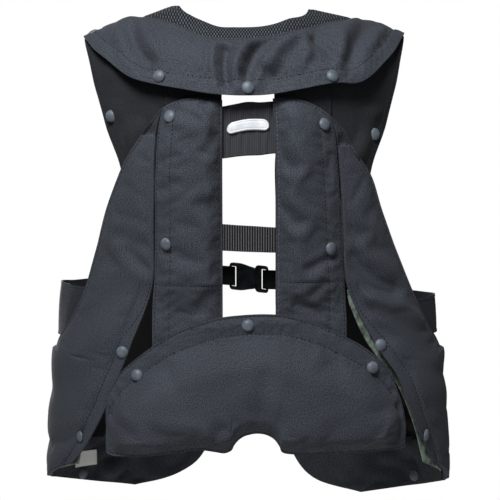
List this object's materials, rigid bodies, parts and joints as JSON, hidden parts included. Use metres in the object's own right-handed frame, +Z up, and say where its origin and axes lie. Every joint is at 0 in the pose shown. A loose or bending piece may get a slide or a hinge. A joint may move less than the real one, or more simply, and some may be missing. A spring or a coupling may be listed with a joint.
{
  "type": "airbag vest",
  "caption": "Riding airbag vest in dark woven cloth, closed: collar, padded back channels, side wings and hip pad with snap covers, elastic at back and sides, and a buckled front strap.",
  "frame": {"origin": "midway between the shoulders, on the ridge line where the vest rests on the wearer, level with its top beside the neck", "axes": "+Z up, +Y the way the wearer faces, so the back of the vest faces -Y; +X to the wearer's right"},
  "size_m": [0.5052, 0.2886, 0.6332],
  "materials": {
    "cover_fabric": "plain-woven nylon, matt",
    "spacer_mesh": "open knitted spacer mesh",
    "ribbed_elastic": "ribbed elastic, matt",
    "side_elastic": "wide knitted elastic, smooth",
    "airbag_fabric": "coated woven cloth, slight sheen",
    "reflective_film": "pale reflective film",
    "label_fabric": "satin ribbon",
    "strap_webbing": "woven polyester webbing",
    "buckle_plastic": "moulded acetal, fine texture",
    "snap_enamel": "dark grey enamel, soft sheen"
  },
  "bodies": {
    "root": {"collar_flap": "cover_fabric", "hip_pad": "cover_fabric", "back_channel_left": "cover_fabric", "back_channel_right": "cover_fabric", "side_wing_left": "cover_fabric", "side_wing_right": "cover_fabric", "shoulder_panel_left": "cover_fabric", "shoulder_panel_right": "cover_fabric", "neck_link_left": "cover_fabric", "neck_link_right": "cover_fabric", "front_panel_left": "cover_fabric", "front_panel_right": "cover_fabric", "neck_mesh": "spacer_mesh", "elastic_upper": "ribbed_elastic", "elastic_lower": "ribbed_elastic", "side_band_left": "side_elastic", "side_band_right": "side_elastic", "airbag_lining_left": "airbag_fabric", "airbag_lining_right": "airbag_fabric", "reflective_tab": "reflective_film", "care_label": "label_fabric", "front_strap_left": "strap_webbing", "front_strap_right": "strap_webbing", "buckle_socket": "buckle_plastic", "buckle_plug": "buckle_plastic", "snap_collar_left": "snap_enamel", "snap_collar_middle": "snap_enamel", "snap_collar_right": "snap_enamel", "snap_shoulder_panel_left": "snap_enamel", "snap_shoulder_panel_right": "snap_enamel", "snap_channel_top_left": "snap_enamel", "snap_channel_top_right": "snap_enamel", "snap_channel_low_left": "snap_enamel", "snap_channel_low_right": "snap_enamel", "snap_wing_upper_left": "snap_enamel", "snap_wing_upper_right": "snap_enamel", "snap_wing_lower_left": "snap_enamel", "snap_wing_lower_right": "snap_enamel", "snap_hip_left": "snap_enamel", "snap_hip_middle": "snap_enamel", "snap_hip_right": "snap_enamel", "snap_front_left": "snap_enamel", "snap_front_right": "snap_enamel", "snap_shoulder_left": "snap_enamel", "snap_shoulder_right": "snap_enamel"}
  },
  "joints": []
}
